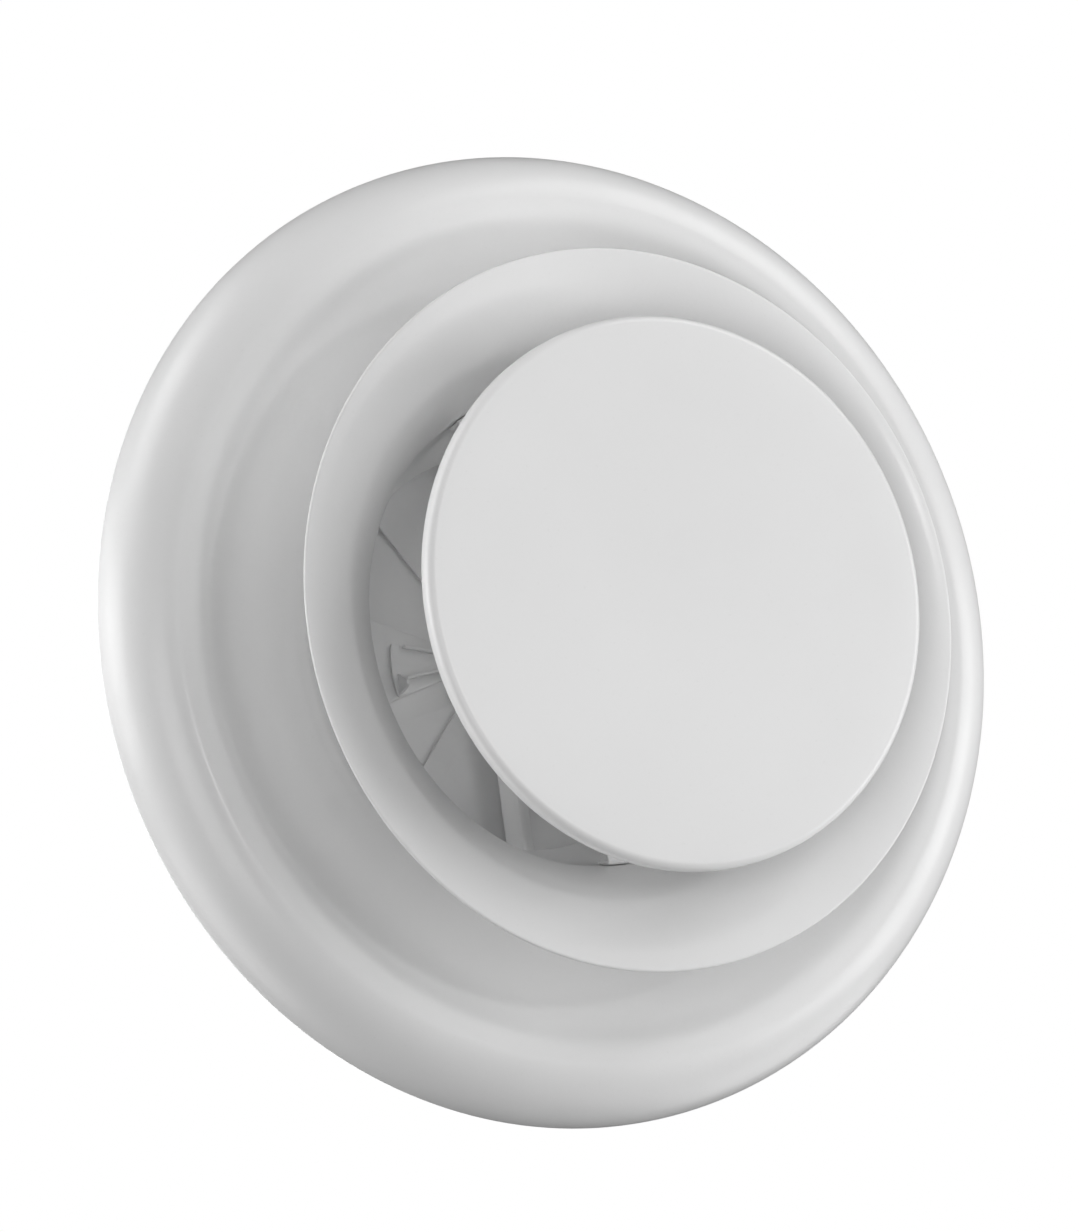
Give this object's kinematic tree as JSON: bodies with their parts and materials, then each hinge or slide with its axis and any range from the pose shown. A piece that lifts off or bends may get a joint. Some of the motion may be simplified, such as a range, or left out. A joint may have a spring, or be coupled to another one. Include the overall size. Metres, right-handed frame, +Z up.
{
  "type": "ceiling air diffuser",
  "caption": "Round ceiling air diffuser: wide rounded rim, flared inner cone and flat centre disc on a threaded spindle, with a rotary shutter damper in the neck.",
  "frame": {"origin": "centre of the ceiling plane, where the gasket on the back of the rim meets the ceiling", "axes": "+Z up along the duct axis into the ceiling void, -Z down into the room; the bridge bar runs 105 degrees from +X about +Z"},
  "size_m": [0.3, 0.3, 0.1502],
  "materials": {
    "white_powder_coat": "semi-gloss white powder coat, fine orange peel",
    "zinc_coated_sheet": "galvanised sheet, faint spangle",
    "zinc_plated_fastener": "bright zinc plating",
    "rivet_aluminium": "plain mill finish",
    "seal_rubber": "matt black extruded rubber",
    "foam_tape": "dark closed-cell foam",
    "eyelet_nylon": "natural nylon"
  },
  "bodies": {
    "frame": {"outer_frame": "white_powder_coat", "rim_gasket": "foam_tape", "neck_collar": "zinc_coated_sheet", "neck_lip_seal": "seal_rubber", "bridge_bar": "white_powder_coat", "bridge_nut": "zinc_plated_fastener", "bridge_rivet_1": "rivet_aluminium", "bridge_rivet_2": "rivet_aluminium", "bridge_rivet_3": "rivet_aluminium", "bridge_rivet_4": "rivet_aluminium", "shutter_rivet_1": "rivet_aluminium", "shutter_rivet_2": "rivet_aluminium", "shutter_rivet_3": "rivet_aluminium", "shutter_rivet_4": "rivet_aluminium", "shutter_seat": "white_powder_coat", "shutter_eyelet": "eyelet_nylon"},
    "shutter": {"shutter_rotor": "white_powder_coat", "shutter_lever": "white_powder_coat"},
    "spindle": {"threaded_spindle": "zinc_plated_fastener"},
    "cones": {"bell_cone": "white_powder_coat", "centre_disc": "white_powder_coat", "disc_stiffener": "zinc_coated_sheet", "disc_boss": "zinc_plated_fastener", "spacer_tube": "zinc_plated_fastener", "cone_strap": "white_powder_coat", "lock_washer": "zinc_plated_fastener", "lock_nut": "zinc_plated_fastener", "strap_rivet_1": "rivet_aluminium", "strap_rivet_2": "rivet_aluminium", "strap_rivet_3": "rivet_aluminium", "strap_rivet_4": "rivet_aluminium"}
  },
  "joints": [
    {"name": "shutter_turn", "type": "hinge", "parent": "frame", "child": "shutter", "pos_m": [0, 0, 0.0457], "axis": [0, 0, 1], "range_deg": [0, 36]},
    {"name": "cone_lift", "type": "slide", "parent": "frame", "child": "spindle", "axis": [0, 0, 1], "range_m": [-0.01376, 0.01001]},
    {"name": "cone_turn", "type": "hinge", "parent": "spindle", "child": "cones", "pos_m": [0, 0, 0], "axis": [0, 0, 1], "range_deg": [-3960, 2880]}
  ],
  "couplings": [
    {"joint": "cone_lift", "follows": "cone_turn", "m_per_rad": 0.00019894}
  ]
}
